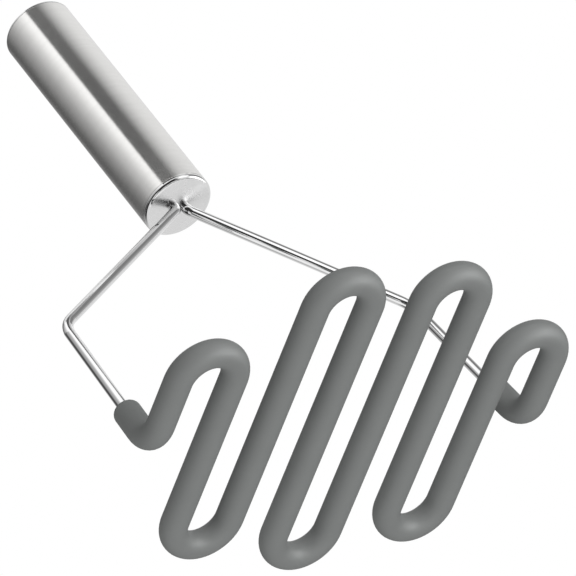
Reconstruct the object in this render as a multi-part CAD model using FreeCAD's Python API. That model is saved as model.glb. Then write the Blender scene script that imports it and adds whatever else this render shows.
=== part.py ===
import FreeCAD, Part
import math
import os

# Wire potato masher standing on its mash plate with the handle up.
# Lengths in millimetres. +Z runs up the handle, X across the two legs, and the origin is on the
# surface that the masher stands on, under the handle's axis. The front is -Y.

# Handle: a plain tube, closed by a cap at each end
handle_diameter = 24.0
handle_length = 97.0
handle_base_height = 114.4
tube_wall = 0.8
tube_edge_radius = 0.25

# Caps: a flat face with a rounded rim, and a skirt inside the tube
bottom_cap_thickness = 1.5
bottom_cap_rim_radius = 1.2
top_cap_thickness = 0.7
top_cap_rim_radius = 0.5
cap_skirt_length = 6.0
cap_skirt_wall = 1.0
cap_clearance = 0.05

# Rod: its two ends stand side by side in the bottom cap
wire_diameter = 3.5
wire_end_gap = 0.5
wire_clearance = 0.05
wire_tail = 3.0
throat_length = 0.3
throat_bend_radius = 3.0
shoulder_span = 134.4
shoulder_height = 67.4
shoulder_offset = 8.0
shoulder_bend_radius = 9.5
foot_offset = 5.5
foot_bend_radius = 8.6

# Mash plate: the centres of the turns, measured from the handle's axis
strand_pitch = 20.4
long_turn_reach = 44.3
middle_turn_reach = 36.4
short_turn_reach = 19.3

# Silicone sleeve round the plate, the feet and the lower end of each leg
sleeve_wall = 2.7
sleeve_leg_length = 11.0
sleeve_end_radius = 2.4

# Weld round the two rod ends, on the inside of the bottom cap
weld_leg = 1.6
weld_crown_radius = 0.9

# The turns in order across the plate; each joins one strand to the next
FRONT = -1
BACK = 1
turns = [
    (FRONT, short_turn_reach),
    (BACK, middle_turn_reach),
    (FRONT, long_turn_reach),
    (BACK, long_turn_reach),
    (FRONT, long_turn_reach),
    (BACK, middle_turn_reach),
    (FRONT, short_turn_reach),
]

LEFT = -1
RIGHT = 1
UP = FreeCAD.Vector(0, 0, 1)

# A rounded edge takes at most this much of the wall it is cut in
round_limit_share = 0.9

handle_radius = handle_diameter / 2
tube_bore_radius = handle_radius - tube_wall
tube_base_height = handle_base_height + bottom_cap_thickness
tube_length = handle_length - bottom_cap_thickness - top_cap_thickness
wire_radius = wire_diameter / 2
wire_hole_radius = wire_radius + wire_clearance
wire_spacing = wire_diameter + wire_end_gap
sleeve_radius = wire_hole_radius + sleeve_wall
turn_radius = strand_pitch / 2
plate_width = strand_pitch * len(turns)
plate_height = sleeve_radius


class Route:
    """Centre line of a bent rod, grown run by run: straight stretches and tangent arcs."""

    def __init__(self, start):
        self.start = start
        self.here = start
        self.edges = []

    def run_to(self, point):
        self.edges.append(Part.LineSegment(self.here, point).toShape())
        self.here = point

    def run_and_arc(self, entry, middle, leave):
        self.run_to(entry)
        self.edges.append(Part.Arc(entry, middle, leave).toShape())
        self.here = leave

    def bend_at(self, corner, following, radius):
        """Round the corner between the point reached and the following one."""
        back = (self.here - corner).normalize()
        onward = (following - corner).normalize()
        half_angle = back.getAngle(onward) / 2
        setback = radius / math.tan(half_angle)
        inset = radius / math.sin(half_angle) - radius
        middle = corner + (back + onward).normalize() * inset
        self.run_and_arc(corner + back * setback, middle, corner + onward * setback)

    def sweep(self, outer_radius, bore_radius=0):
        """Solid round rod along the route, or a tube when it has a bore."""
        heading = self.edges[0].tangentAt(self.edges[0].FirstParameter)
        rings = [Part.Wire(Part.makeCircle(outer_radius, self.start, heading))]
        section_area = math.pi * outer_radius ** 2
        if bore_radius:
            rings.append(Part.Wire(Part.makeCircle(bore_radius, self.start, heading)))
            section_area -= math.pi * bore_radius ** 2
        path = Part.Wire(self.edges)
        solid = path.makePipe(Part.Face(rings, "Part::FaceMakerBullseye"))
        print("swept volume over section times length:", solid.Volume / (section_area * path.Length))
        return solid


def circles(solid, radius, centre):
    """Round edges of a solid with this radius and centre."""
    found = [edge for edge in solid.Edges if isinstance(edge.Curve, Part.Circle)]
    found = [edge for edge in found if math.isclose(edge.Curve.Radius, radius)]
    return [edge for edge in found if edge.Curve.Center.isEqual(centre, Part.Precision.confusion())]


def rod_end(side):
    return FreeCAD.Vector(side * wire_spacing / 2, 0, tube_base_height + wire_tail)


def throat(side):
    """Corner where a rod end, straight for a short way below the cap, turns into its arm."""
    bend_start = FreeCAD.Vector(side * wire_spacing / 2, 0, handle_base_height - throat_length)
    to_shoulder = shoulder(side) - bend_start
    outward = math.hypot(to_shoulder.x, to_shoulder.y) - throat_bend_radius
    downward = -to_shoulder.z
    turn = math.atan2(outward, downward) + math.asin(throat_bend_radius / math.hypot(outward, downward))
    return bend_start - UP * throat_bend_radius * math.tan(turn / 2)


def shoulder(side):
    return FreeCAD.Vector(side * shoulder_span / 2, shoulder_offset, shoulder_height)


def foot(side):
    """Corner where a leg turns into the first or last strand."""
    return FreeCAD.Vector(side * plate_width / 2, foot_offset, plate_height)


def turn_start(index):
    side, reach = turns[index]
    return FreeCAD.Vector(index * strand_pitch - plate_width / 2, side * reach, plate_height)


def follow_plate(route):
    """Foot, strands and turns from the left leg to the right foot's bend."""
    route.bend_at(foot(LEFT), turn_start(0), foot_bend_radius)
    for index, (side, _) in enumerate(turns):
        entry = turn_start(index)
        middle = entry + FreeCAD.Vector(turn_radius, side * turn_radius, 0)
        route.run_and_arc(entry, middle, entry + FreeCAD.Vector(strand_pitch, 0, 0))
    route.bend_at(foot(RIGHT), shoulder(RIGHT), foot_bend_radius)


def masher_wire():
    route = Route(rod_end(LEFT))
    route.bend_at(throat(LEFT), shoulder(LEFT), throat_bend_radius)
    route.bend_at(shoulder(LEFT), foot(LEFT), shoulder_bend_radius)
    follow_plate(route)
    route.bend_at(shoulder(RIGHT), throat(RIGHT), shoulder_bend_radius)
    route.bend_at(throat(RIGHT), rod_end(RIGHT), throat_bend_radius)
    route.run_to(rod_end(RIGHT))
    return route.sweep(wire_radius)


def sleeve_end(side):
    """Point on a leg's centre line where the silicone stops."""
    leg = (shoulder(side) - foot(side)).normalize()
    return foot(side) + leg * (foot_bend_radius + sleeve_leg_length)


def silicone_sleeve():
    route = Route(sleeve_end(LEFT))
    follow_plate(route)
    route.run_to(sleeve_end(RIGHT))
    tube = route.sweep(sleeve_radius, wire_hole_radius)
    rims = [edge for end in (LEFT, RIGHT) for edge in circles(tube, sleeve_radius, sleeve_end(end))]
    return tube.makeFillet(min(sleeve_end_radius, sleeve_wall * round_limit_share), rims)


def handle_tube():
    base = UP * tube_base_height
    outside = Part.makeCylinder(handle_radius, tube_length, base)
    tube = outside.cut(Part.makeCylinder(tube_bore_radius, tube_length, base))
    rims = circles(tube, handle_radius, base) + circles(tube, handle_radius, base + UP * tube_length)
    return tube.makeFillet(min(tube_edge_radius, tube_wall * round_limit_share), rims)


def plain_cap(thickness, rim_radius):
    """Cap lying on its outer face at the origin, its rim rounded and its skirt standing up."""
    face = Part.makeCylinder(handle_radius, thickness)
    rim = circles(face, handle_radius, FreeCAD.Vector())
    face = face.makeFillet(min(rim_radius, thickness * round_limit_share), rim)
    skirt_radius = tube_bore_radius - cap_clearance
    skirt = Part.makeCylinder(skirt_radius, cap_skirt_length, UP * thickness)
    hollow = Part.makeCylinder(skirt_radius - cap_skirt_wall, cap_skirt_length, UP * thickness)
    return face.fuse(skirt.cut(hollow)).removeSplitter()


def wire_holes(height, depth):
    """The two clearance holes that the rod ends stand in."""
    places = [FreeCAD.Vector(side * wire_spacing / 2, 0, height) for side in (LEFT, RIGHT)]
    return Part.makeCompound([Part.makeCylinder(wire_hole_radius, depth, place) for place in places])


def bottom_cap():
    cap = plain_cap(bottom_cap_thickness, bottom_cap_rim_radius)
    cap.translate(UP * handle_base_height)
    return cap.cut(wire_holes(handle_base_height, bottom_cap_thickness))


def top_cap():
    cap = plain_cap(top_cap_thickness, top_cap_rim_radius)
    cap.rotate(FreeCAD.Vector(), FreeCAD.Vector(1, 0, 0), 180)
    cap.translate(UP * (handle_base_height + handle_length))
    return cap


def cap_weld():
    """One bead round both rod ends: two discs and the bar between them, with a rounded crown."""
    bead_radius = wire_radius + weld_leg
    left = FreeCAD.Vector(LEFT * wire_spacing / 2, 0, tube_base_height)
    right = FreeCAD.Vector(RIGHT * wire_spacing / 2, 0, tube_base_height)
    corner = left - FreeCAD.Vector(0, bead_radius, 0)
    bar = Part.makeBox(wire_spacing, 2 * bead_radius, weld_leg, corner)
    discs = [Part.makeCylinder(bead_radius, weld_leg, place) for place in (left, right)]
    bead = bar.multiFuse(discs).removeSplitter()
    crown = [edge for edge in bead.Edges if edge.BoundBox.ZMin > tube_base_height + weld_leg / 2]
    bead = bead.makeFillet(min(weld_crown_radius, weld_leg * round_limit_share), crown)
    return bead.cut(wire_holes(tube_base_height, weld_leg))


PIECES = [handle_tube, top_cap, bottom_cap, masher_wire, silicone_sleeve, cap_weld]

os.makedirs("parts", exist_ok=True)
for piece in PIECES:
    solid = piece()
    solid.exportStep("parts/" + piece.__name__ + ".step")
    print(piece.__name__, len(solid.Solids), "solid, volume", round(solid.Volume), "valid", solid.isValid())
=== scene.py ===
import math

import bpy
from mathutils import Matrix, Quaternion, Vector


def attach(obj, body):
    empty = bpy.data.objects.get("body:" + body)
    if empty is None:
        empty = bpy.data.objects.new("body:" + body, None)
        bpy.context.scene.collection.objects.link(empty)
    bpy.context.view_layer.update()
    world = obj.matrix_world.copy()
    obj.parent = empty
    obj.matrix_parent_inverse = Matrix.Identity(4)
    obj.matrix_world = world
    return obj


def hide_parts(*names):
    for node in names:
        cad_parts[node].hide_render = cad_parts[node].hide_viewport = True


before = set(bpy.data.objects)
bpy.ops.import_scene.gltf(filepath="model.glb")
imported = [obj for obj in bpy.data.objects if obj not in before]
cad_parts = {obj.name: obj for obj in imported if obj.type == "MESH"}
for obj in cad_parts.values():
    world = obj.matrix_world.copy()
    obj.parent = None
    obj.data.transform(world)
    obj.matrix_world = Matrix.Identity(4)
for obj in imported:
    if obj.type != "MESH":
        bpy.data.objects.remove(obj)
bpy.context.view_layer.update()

# Wire potato masher: steel tube handle, one bent rod, and a silicone sleeve round the mash plate.
# Metres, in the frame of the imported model. Angles are in degrees.
MM = 0.001

# Sleeve: the centre line of the plate, as the frame has it
STRAND_PITCH = 20.4 * MM
LONG_REACH = 44.3 * MM
MIDDLE_REACH = 36.4 * MM
SHORT_REACH = 19.3 * MM
FOOT_OFFSET = 5.5 * MM
FOOT_BEND_RADIUS = 8.6 * MM
SHOULDER = Vector((67.2, 8.0, 67.4)) * MM
SLEEVE_RADIUS = 4.5 * MM
SLEEVE_BORE_RADIUS = 1.8 * MM
SLEEVE_LEG_LENGTH = 11.0 * MM
SLEEVE_END_RADIUS = 2.4 * MM
SLEEVE_SIDES = 56
RING_SPACING = 1.1 * MM
END_RING_SHARES = (0, 0.02, 0.07, 0.15, 0.26, 0.4, 0.56, 0.74, 0.92)
FRONT, BACK = -1, 1
TURNS = [
    (FRONT, SHORT_REACH),
    (BACK, MIDDLE_REACH),
    (FRONT, LONG_REACH),
    (BACK, LONG_REACH),
    (FRONT, LONG_REACH),
    (BACK, MIDDLE_REACH),
    (FRONT, SHORT_REACH),
]

# Finishes: the range that most noise values lie in, and how upright the cap's surface is where
# its polished rim ends and where its satin face starts
NOISE_LOW, NOISE_HIGH = 0.3, 0.7
RIM_END, FACE_START = 0.94, 0.995
RIM_ROUGHNESS = 0.05

# Camera: below the plate, rolled, with a long lens
CAMERA_AIM = Vector((-13.3, -26.08, 37.96)) * MM
CAMERA_AZIMUTH = -48.71
CAMERA_ELEVATION = -39.11
CAMERA_ROLL = -38.8
CAMERA_DISTANCE = 1.98
CAMERA_LENS = 401.05
CAMERA_SENSOR = 36.0

# Floor and background
FLOOR_RADIUS = 1.4
FLOOR_FADE_START = 0.5
FLOOR_COLOUR = (0.86, 0.86, 0.86, 1)
WHITE = (1, 1, 1, 1)
AMBIENT_STRENGTH = 0.36

# Lamps: (azimuth, elevation, watts)
LAMP_DISTANCE = 1.6
LAMP_SIZE = 1.1
LAMPS = {
    "front_lamp": (8, 5, 13.0),
    "left_lamp": (-135, -20, 7.6),
    "low_lamp": (0, -70, 14.9),
    "overhead_lamp": (100, 55, 18.0),
}
SATIN_LAMP = (48, -35, 48.0)

# Cards for the steel to mirror. The heights are of a card's lower and upper edges, and the stops
# across it are (azimuth from the camera's side, brightness).
CARD_STEP = 5.0
WALL_DISTANCE = 0.2
HANDLE_STOPS = [
    (-185, 1.0),
    (-150, 0.28),
    (-125, 0.11),
    (-105, 0.2),
    (-60, 0.6),
    (-35, 0.98),
    (-8, 1.55),
    (35, 1.6),
]
LEG_STOPS = [
    (-185, 1.0),
    (-150, 0.8),
    (-110, 0.4),
    (-93, 0.12),
    (-77, 0.07),
    (-65, 0.14),
    (-48, 0.53),
    (-30, 0.62),
    (-22, 0.78),
    (-12, 1.08),
    (-3, 1.4),
    (7, 1.6),
    (35, 1.6),
]
HIGH_RIGHT_STOPS = [(131, 1.3)]
HANDLE_RIGHT_STOPS = [(56, 1.4), (75, 1.2), (80, 0.25), (100, 0.2), (115, 0.4), (131, 0.85)]
LEG_RIGHT_STOPS = [(56, 1.4), (68, 1.2), (72, 0.32), (104, 0.28), (118, 0.42), (131, 0.85)]
DARK_STOPS = [(4, 0.145), (39, 0.155), (57, 0.6)]
PALE_STOPS = [(55, 0.6), (74, 0.9), (92, 1.08), (130, 1.1)]
CAMERA_SIDE_STOPS = [(-140, 1.0), (-100, 0.04), (38, 0.04), (50, 1.0)]
CAMERA_LOW_STOPS = [(-35, 1.0), (-15, 0.04), (57, 0.04), (70, 1.0)]
BRIGHT_STOPS = [(50.5, 1.7), (80, 1.7)]
STREAK_STOPS = [(95, 2.8), (140, 2.8)]
GREY_STOPS = [(80, 0.28), (95, 0.3), (105, 0.4), (118, 0.5), (130, 0.75)]


def direction(azimuth, elevation):
    """Unit vector from the object, with the azimuth and elevation of the other views."""
    a, e = math.radians(azimuth), math.radians(elevation)
    return Vector((math.sin(a) * math.cos(e), -math.cos(a) * math.cos(e), math.sin(e)))


def mesh_object(name, points, faces):
    mesh = bpy.data.meshes.new(name)
    mesh.from_pydata(points, [], faces)
    mesh.polygons.foreach_set("use_smooth", [True] * len(mesh.polygons))
    mesh.update()
    piece = bpy.data.objects.new(name, mesh)
    bpy.context.scene.collection.objects.link(piece)
    return piece


def rectangle(name, across, along, height):
    """Level rectangle between two places on X and two on Y."""
    (left, right), (front, back) = across, along
    corners = [(left, front), (right, front), (right, back), (left, back)]
    return mesh_object(name, [(x, y, height) for x, y in corners], [(0, 1, 2, 3)])


# Node helpers. In a keyword that names a socket, an underscore stands for a space.


def set_inputs(node, constants):
    for name, value in constants.items():
        node.inputs[name.replace("_", " ")].default_value = value


def connect(tree, node, **values):
    for name, value in values.items():
        tree.links.new(value, node.inputs[name.replace("_", " ")])


def add_node(tree, kind, **constants):
    node = tree.nodes.new(kind)
    set_inputs(node, constants)
    return node


def surface(name, **constants):
    """New material with one principled shader, whose constants are set on its own sockets."""
    material = bpy.data.materials.new(name)
    material.use_nodes = True
    shader = material.node_tree.nodes["Principled BSDF"]
    set_inputs(shader, constants)
    return material, material.node_tree, shader


def cleared_tree(owner):
    """Empty node tree of a material or a world."""
    owner.use_nodes = True
    owner.node_tree.nodes.clear()
    return owner.node_tree


def noise(tree, cell, detail=2.0):
    """Noise whose cells have this size in metres along X, Y and Z."""
    place = add_node(tree, "ShaderNodeTexCoord")
    mapping = add_node(tree, "ShaderNodeMapping", Scale=[1 / size for size in cell])
    texture = add_node(tree, "ShaderNodeTexNoise", Scale=1.0, Detail=detail)
    connect(tree, mapping, Vector=place.outputs["Object"])
    connect(tree, texture, Vector=mapping.outputs["Vector"])
    return texture.outputs[0]


def between(tree, value, low, high):
    """Spreads a noise value between two numbers."""
    spread = add_node(
        tree, "ShaderNodeMapRange", From_Min=NOISE_LOW, From_Max=NOISE_HIGH, To_Min=low, To_Max=high
    )
    connect(tree, spread, Value=value)
    return spread.outputs["Result"]


def tones(tree, value, first, second):
    """Mixes two colours by a noise value."""
    mix = add_node(tree, "ShaderNodeMix")
    mix.data_type = "RGBA"
    set_inputs(mix, {"A": (*first, 1), "B": (*second, 1)})
    connect(tree, mix, Factor=value)
    return mix.outputs["Result"]


def bump(tree, height, depth, strength):
    node = add_node(tree, "ShaderNodeBump", Distance=depth, Strength=strength)
    connect(tree, node, Height=height)
    return node.outputs["Normal"]


def larger(tree, first, second):
    node = add_node(tree, "ShaderNodeMath")
    node.operation = "MAXIMUM"
    tree.links.new(first, node.inputs[0])
    tree.links.new(second, node.inputs[1])
    return node.outputs["Value"]


def mix_shaders(tree, share, first, second):
    """The first shader, with this share of the second."""
    node = add_node(tree, "ShaderNodeMixShader")
    connect(tree, node, Fac=share)
    tree.links.new(first, node.inputs[1])
    tree.links.new(second, node.inputs[2])
    return node.outputs["Shader"]


# Materials


def brushed_steel():
    """Satin tube, brushed round its axis, so that reflections spread along the tube."""
    material, tree, shader = surface(
        "brushed_steel", Metallic=1.0, Anisotropic=0.8, Anisotropic_Rotation=0.25
    )
    tangent = add_node(tree, "ShaderNodeTangent")
    tangent.direction_type = "RADIAL"
    tangent.axis = "Z"
    grain = noise(tree, cell=(9 * MM, 9 * MM, 0.16 * MM), detail=3.0)
    bands = noise(tree, cell=(30 * MM, 30 * MM, 1.1 * MM))
    connect(
        tree,
        shader,
        Base_Color=tones(tree, bands, first=(0.615, 0.61, 0.6), second=(0.665, 0.66, 0.65)),
        Roughness=between(tree, grain, low=0.22, high=0.26),
        Normal=bump(tree, grain, depth=0.004 * MM, strength=0.08),
        Tangent=tangent.outputs["Tangent"],
    )
    return material


def face_roughness(tree, satin):
    """Satin where the surface faces up or down, polished on the rounded rim."""
    geometry = add_node(tree, "ShaderNodeNewGeometry")
    split = add_node(tree, "ShaderNodeSeparateXYZ")
    upright = add_node(tree, "ShaderNodeMath")
    upright.operation = "ABSOLUTE"
    blend = add_node(
        tree, "ShaderNodeMapRange", From_Min=RIM_END, From_Max=FACE_START, To_Min=RIM_ROUGHNESS
    )
    connect(tree, split, Vector=geometry.outputs["Normal"])
    connect(tree, upright, Value=split.outputs["Z"])
    connect(tree, blend, Value=upright.outputs["Value"], To_Max=satin)
    return blend.outputs["Result"]


def polished_steel():
    """Cap finish: satin face with fine wipe marks, and a mirror polish on the rim."""
    material, tree, shader = surface("polished_steel", Metallic=1.0)
    haze = noise(tree, cell=(5 * MM, 5 * MM, 5 * MM), detail=4.0)
    marks = noise(tree, cell=(2.4 * MM, 0.12 * MM, 1.0 * MM))
    connect(
        tree,
        shader,
        Base_Color=tones(tree, haze, first=(0.63, 0.63, 0.63), second=(0.66, 0.66, 0.66)),
        Roughness=face_roughness(tree, between(tree, haze, low=0.22, high=0.3)),
        Normal=bump(tree, marks, depth=0.001 * MM, strength=0.1),
    )
    return material


def rod_steel():
    """Drawn and polished rod."""
    material, tree, shader = surface("rod_steel", Metallic=1.0)
    haze = noise(tree, cell=(3 * MM, 3 * MM, 8 * MM), detail=3.0)
    marks = noise(tree, cell=(0.25 * MM, 0.25 * MM, 3 * MM))
    connect(
        tree,
        shader,
        Base_Color=tones(tree, haze, first=(0.63, 0.63, 0.635), second=(0.67, 0.67, 0.67)),
        Roughness=between(tree, haze, low=0.04, high=0.07),
        Normal=bump(tree, marks, depth=0.001 * MM, strength=0.05),
    )
    return material


def silicone():
    """Matt moulded silicone with a fine skin.

    Its satin shine is a small metallic share, because a plain gloss outlines the sleeve in white
    when it is seen from above.
    """
    material, tree, shader = surface(
        "silicone", Metallic=0.1, Specular_Tint=(0.3, 0.3, 0.3, 1), Specular_IOR_Level=0.0
    )
    cloud = noise(tree, cell=(11 * MM, 11 * MM, 11 * MM), detail=3.0)
    skin = noise(tree, cell=(0.5 * MM, 0.5 * MM, 0.5 * MM), detail=3.0)
    connect(
        tree,
        shader,
        Base_Color=tones(tree, cloud, first=(0.196, 0.203, 0.2), second=(0.214, 0.221, 0.218)),
        Roughness=between(tree, skin, low=0.5, high=0.62),
        Normal=bump(tree, skin, depth=0.02 * MM, strength=0.25),
    )
    return material


def weld_steel():
    """Bead as welded: rippled, with straw and grey heat tint."""
    material, tree, shader = surface("weld_steel", Metallic=1.0)
    tint = noise(tree, cell=(1.6 * MM, 1.6 * MM, 0.8 * MM), detail=3.0)
    ripple = noise(tree, cell=(0.5 * MM, 0.5 * MM, 0.9 * MM))
    connect(
        tree,
        shader,
        Base_Color=tones(tree, tint, first=(0.4, 0.38, 0.37), second=(0.48, 0.43, 0.36)),
        Roughness=between(tree, ripple, low=0.35, high=0.55),
        Normal=bump(tree, ripple, depth=0.1 * MM, strength=0.6),
    )
    return material


def finish_nodes():
    """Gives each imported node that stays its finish."""
    cap_finish = polished_steel()
    finishes = {
        "handle_tube": brushed_steel(),
        "top_cap": cap_finish,
        "bottom_cap": cap_finish,
        "masher_wire": rod_steel(),
        "cap_weld": weld_steel(),
    }
    for name, material in finishes.items():
        for material_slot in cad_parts[name].material_slots:
            material_slot.material = material


# Silicone sleeve. A side is -1 for left and 1 for right.


def foot(side):
    """Corner where a leg's line meets the line of the outermost strand."""
    return Vector((side * STRAND_PITCH * len(TURNS) / 2, FOOT_OFFSET, SLEEVE_RADIUS))


def leg(side):
    """Direction of a leg, from the foot up."""
    return (Vector((side * SHOULDER.x, SHOULDER.y, SHOULDER.z)) - foot(side)).normalized()


def sleeve_end(side):
    return foot(side) + leg(side) * (FOOT_BEND_RADIUS + SLEEVE_LEG_LENGTH)


def turn_centre(index):
    face, reach = TURNS[index]
    x = (index + 0.5 - len(TURNS) / 2) * STRAND_PITCH
    return Vector((x, face * reach, SLEEVE_RADIUS))


def add_run(path, end):
    """Straight stretch from the path's last point, in even steps."""
    start = path[-1]
    steps = max(1, math.ceil((end - start).length / RING_SPACING))
    path.extend(start.lerp(end, (step + 1) / steps) for step in range(steps))


def add_arc(path, centre, leave):
    """Arc about a centre from the path's last point, in even steps."""
    spoke = path[-1] - centre
    sweep = spoke.rotation_difference(leave - centre)
    steps = math.ceil(sweep.angle * spoke.length / RING_SPACING)
    for step in range(steps):
        path.append(centre + Quaternion(sweep.axis, sweep.angle * (step + 1) / steps) @ spoke)


def add_bend(path, corner, following):
    """Straight stretch and then the arc that rounds a corner."""
    back = (path[-1] - corner).normalized()
    onward = (following - corner).normalized()
    half = back.angle(onward) / 2
    setback = FOOT_BEND_RADIUS / math.tan(half)
    centre = corner + (back + onward).normalized() * FOOT_BEND_RADIUS / math.sin(half)
    add_run(path, corner + back * setback)
    add_arc(path, centre, corner + onward * setback)


def add_turn(path, index):
    """Strand and then the half circle that joins it to the next one."""
    centre = turn_centre(index)
    middle = centre + Vector((0, TURNS[index][0] * STRAND_PITCH / 2, 0))
    across = Vector((STRAND_PITCH / 2, 0, 0))
    add_run(path, centre - across)
    add_arc(path, centre, middle)
    add_arc(path, centre, centre + across)


def sleeve_path():
    """Centre line from the left end to the right one, with close rings where an end rounds over."""
    path = [sleeve_end(-1) - leg(-1) * SLEEVE_END_RADIUS * share for share in END_RING_SHARES]
    add_bend(path, foot(-1), turn_centre(0) - Vector((STRAND_PITCH / 2, 0, 0)))
    for index in range(len(TURNS)):
        add_turn(path, index)
    add_bend(path, foot(1), sleeve_end(1))
    add_run(path, sleeve_end(1) - leg(1) * SLEEVE_END_RADIUS)
    for share in reversed(END_RING_SHARES):
        path.append(sleeve_end(1) - leg(1) * SLEEVE_END_RADIUS * share)
    return path


def headings(path):
    """Unit tangents along a path."""
    ahead = path[1:] + path[-1:]
    behind = path[:1] + path[:-1]
    return [(later - earlier).normalized() for later, earlier in zip(ahead, behind)]


def tube_rings(path, radii):
    """Rings of points square to the path, turned as little as possible from one to the next."""
    angles = [math.tau * step / SLEEVE_SIDES for step in range(SLEEVE_SIDES)]
    tangents = headings(path)
    side = tangents[0].orthogonal().normalized()
    rings = []
    for index, (centre, tangent, radius) in enumerate(zip(path, tangents, radii)):
        if index:
            side = tangents[index - 1].rotation_difference(tangent) @ side
        over = tangent.cross(side)
        spokes = [side * math.cos(a) + over * math.sin(a) for a in angles]
        rings.append([centre + spoke * radius for spoke in spokes])
    return rings


def sleeve_outline(path):
    """Outside radius at each point: full, but rounded over at the two ends."""
    radii = []
    for point in path:
        depth = min((point - sleeve_end(side)).length for side in (-1, 1))
        short = max(0, SLEEVE_END_RADIUS - depth)
        rounding = math.sqrt(SLEEVE_END_RADIUS**2 - short**2)
        radii.append(SLEEVE_RADIUS - SLEEVE_END_RADIUS + rounding)
    return radii


def make_sleeve():
    """Hollow sleeve: the outside, the bore, and the ring that joins them at each end."""
    path = sleeve_path()
    outside = tube_rings(path, sleeve_outline(path))
    bore = tube_rings(path, [SLEEVE_BORE_RADIUS] * len(path))
    loop = outside + bore[::-1]
    points = [point for ring in loop for point in ring]
    faces = []
    for ring in range(len(loop)):
        here, there = ring * SLEEVE_SIDES, (ring + 1) % len(loop) * SLEEVE_SIDES
        for step in range(SLEEVE_SIDES):
            following = (step + 1) % SLEEVE_SIDES
            faces.append((here + step, here + following, there + following, there + step))
    sleeve = mesh_object("silicone_skin", points, faces)
    sleeve.data.materials.append(silicone())
    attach(sleeve, "root")
    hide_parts("silicone_sleeve")
    return sleeve


# What the steel mirrors


def glow(name, stops):
    """Plain light whose brightness follows stops of (share across the card, brightness)."""
    material = bpy.data.materials.new(name)
    tree = cleared_tree(material)
    brightest = max(value for _, value in stops)
    place = add_node(tree, "ShaderNodeUVMap")
    split = add_node(tree, "ShaderNodeSeparateXYZ")
    ramp = add_node(tree, "ShaderNodeValToRGB")
    emission = add_node(tree, "ShaderNodeEmission", Strength=brightest)
    output = add_node(tree, "ShaderNodeOutputMaterial")
    elements = ramp.color_ramp.elements
    for _ in stops[2:]:
        elements.new(1.0)
    for element, (share, value) in zip(elements, stops):
        element.position = share
        element.color = (value / brightest, value / brightest, value / brightest, 1)
    connect(tree, split, Vector=place.outputs["UV"])
    connect(tree, ramp, Fac=split.outputs["X"])
    connect(tree, emission, Color=ramp.outputs["Color"])
    connect(tree, output, Surface=emission.outputs["Emission"])
    return material


def show_in_reflections(card):
    """Hides a card from everything but reflections."""
    card.visible_camera = False
    card.visible_diffuse = False
    card.visible_transmission = False
    card.visible_shadow = False


def reflector(name, distance, heights, stops):
    """Upright card, curved about the handle's axis, that spans its stops."""
    first, last = stops[0][0], stops[-1][0]
    columns = math.ceil((last - first) / CARD_STEP)
    points = []
    for column in range(columns + 1):
        azimuth = CAMERA_AZIMUTH + first + (last - first) * column / columns
        base = direction(azimuth, 0) * distance
        points.extend(base + Vector((0, 0, height)) for height in heights)
    corners = range(0, 2 * columns, 2)
    faces = [(corner, corner + 2, corner + 3, corner + 1) for corner in corners]
    card = mesh_object(name, points, faces)
    layer = card.data.uv_layers.new(name="UVMap")
    for loop in card.data.loops:
        layer.data[loop.index].uv = (loop.vertex_index // 2 / columns, 0)
    places = [((azimuth - first) / (last - first), value) for azimuth, value in stops]
    card.data.materials.append(glow(name, places))
    show_in_reflections(card)


def level_reflector(name, across, along, height, brightness):
    """Level card of one brightness."""
    card = rectangle(name, across, along, height)
    card.data.materials.append(glow(name, [(0, brightness), (1, brightness)]))
    show_in_reflections(card)


def make_reflectors():
    """What the polished metal shows besides the white background."""
    reflector(
        "high_wall", WALL_DISTANCE, heights=(0.4, 0.75), stops=HANDLE_STOPS + HIGH_RIGHT_STOPS
    )
    reflector(
        "upper_wall", WALL_DISTANCE, heights=(0.25, 0.4), stops=HANDLE_STOPS + HANDLE_RIGHT_STOPS
    )
    reflector("lower_wall", WALL_DISTANCE, heights=(0.13, 0.25), stops=LEG_STOPS + LEG_RIGHT_STOPS)
    reflector("dark_flag", distance=0.1, heights=(0.15, 0.355), stops=DARK_STOPS)
    reflector("pale_flag", distance=0.07, heights=(0.145, 0.345), stops=PALE_STOPS)
    reflector("camera_side", distance=0.5, heights=(-0.24, 0.14), stops=CAMERA_SIDE_STOPS)
    reflector("camera_low", distance=0.5, heights=(-0.72, -0.24), stops=CAMERA_LOW_STOPS)
    reflector("bright_low_card", distance=0.45, heights=(-0.24, 0.12), stops=BRIGHT_STOPS)
    reflector("streak_card", distance=0.45, heights=(-0.36, -0.03), stops=STREAK_STOPS)
    reflector("grey_side_card", distance=0.4, heights=(0.02, 0.36), stops=GREY_STOPS)
    level_reflector(
        "plate_card", across=(-0.03, 0.056), along=(0.004, 0.056), height=0.015, brightness=1.3
    )


# Studio


def lamp(name, azimuth, elevation, watts):
    """Round soft lamp that shines on the middle of the picture and isn't mirrored."""
    light = bpy.data.lights.new(name, "AREA")
    light.shape = "DISK"
    light.size = LAMP_SIZE
    light.energy = watts
    thing = bpy.data.objects.new(name, light)
    bpy.context.scene.collection.objects.link(thing)
    outward = direction(azimuth, elevation)
    thing.location = CAMERA_AIM + outward * LAMP_DISTANCE
    thing.rotation_euler = (-outward).to_track_quat("-Z", "Y").to_euler()
    thing.visible_camera = False
    thing.visible_glossy = False
    return thing


def make_lamps(sleeve):
    """Soft light all round, and one lamp that only makes the sleeve's satin shine."""
    for name, (azimuth, elevation, watts) in LAMPS.items():
        lamp(name, azimuth, elevation, watts)
    satin = bpy.data.collections.new("satin")
    satin.objects.link(sleeve)
    shine = lamp("satin_lamp", *SATIN_LAMP)
    shine.visible_glossy = True
    shine.visible_diffuse = False
    shine.light_linking.receiver_collection = satin


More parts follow.
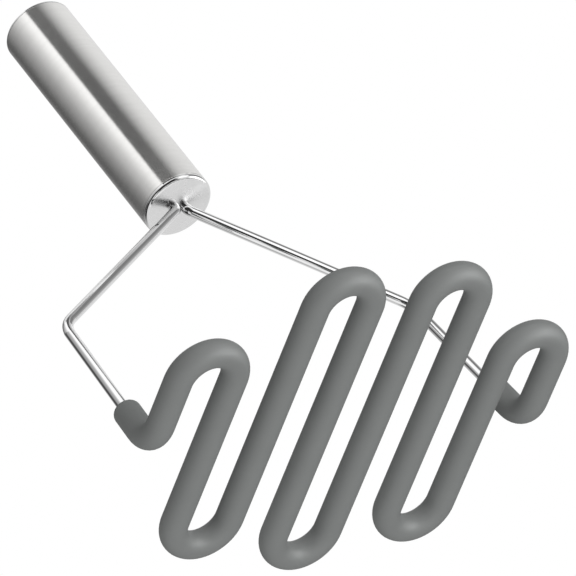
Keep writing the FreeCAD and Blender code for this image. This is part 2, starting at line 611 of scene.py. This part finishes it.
def make_world():
    """White for the camera and for reflections; a moderate even light for everything else."""
    world = bpy.data.worlds.new("studio")
    bpy.context.scene.world = world
    tree = cleared_tree(world)
    path = add_node(tree, "ShaderNodeLightPath")
    ambient = add_node(tree, "ShaderNodeBackground", Color=WHITE, Strength=AMBIENT_STRENGTH)
    white = add_node(tree, "ShaderNodeBackground", Color=WHITE, Strength=1.0)
    output = add_node(tree, "ShaderNodeOutputWorld")
    seen = larger(tree, path.outputs["Is Camera Ray"], path.outputs["Is Glossy Ray"])
    seen = larger(tree, seen, path.outputs["Is Transmission Ray"])
    mix = mix_shaders(tree, seen, ambient.outputs["Background"], white.outputs["Background"])
    connect(tree, output, Surface=mix)


def floor_finish():
    """Pale and matt from above, fading into the background; not there when seen from below."""
    material = bpy.data.materials.new("pale_floor")
    tree = cleared_tree(material)
    geometry = add_node(tree, "ShaderNodeNewGeometry")
    distance = add_node(tree, "ShaderNodeVectorMath")
    distance.operation = "LENGTH"
    fade = add_node(tree, "ShaderNodeMapRange", From_Min=FLOOR_FADE_START, From_Max=FLOOR_RADIUS)
    pale = add_node(tree, "ShaderNodeBsdfDiffuse", Color=FLOOR_COLOUR)
    clear = add_node(tree, "ShaderNodeBsdfTransparent")
    output = add_node(tree, "ShaderNodeOutputMaterial")
    connect(tree, distance, Vector=geometry.outputs["Position"])
    connect(tree, fade, Value=distance.outputs["Value"])
    gone = larger(tree, fade.outputs["Result"], geometry.outputs["Backfacing"])
    mix = mix_shaders(tree, gone, pale.outputs["BSDF"], clear.outputs["BSDF"])
    connect(tree, output, Surface=mix)
    return material


def make_floor():
    extent = (-FLOOR_RADIUS, FLOOR_RADIUS)
    floor = rectangle("floor", extent, extent, 0)
    floor.data.materials.append(floor_finish())
    floor.visible_diffuse = False
    floor.visible_glossy = False
    floor.visible_transmission = False
    floor.visible_shadow = False


def make_camera():
    data = bpy.data.cameras.new("camera")
    data.lens = CAMERA_LENS
    data.sensor_width = CAMERA_SENSOR
    camera = bpy.data.objects.new("camera", data)
    bpy.context.scene.collection.objects.link(camera)
    away = direction(CAMERA_AZIMUTH, CAMERA_ELEVATION)
    level = (-away).to_track_quat("-Z", "Y").to_matrix()
    rolled = level @ Matrix.Rotation(math.radians(CAMERA_ROLL), 3, "Z")
    camera.matrix_world = Matrix.Translation(CAMERA_AIM + away * CAMERA_DISTANCE) @ rolled.to_4x4()
    bpy.context.scene.camera = camera


finish_nodes()
sleeve = make_sleeve()
make_world()
make_floor()
make_lamps(sleeve)
make_reflectors()
make_camera()
bpy.context.scene.view_settings.view_transform = "Standard"
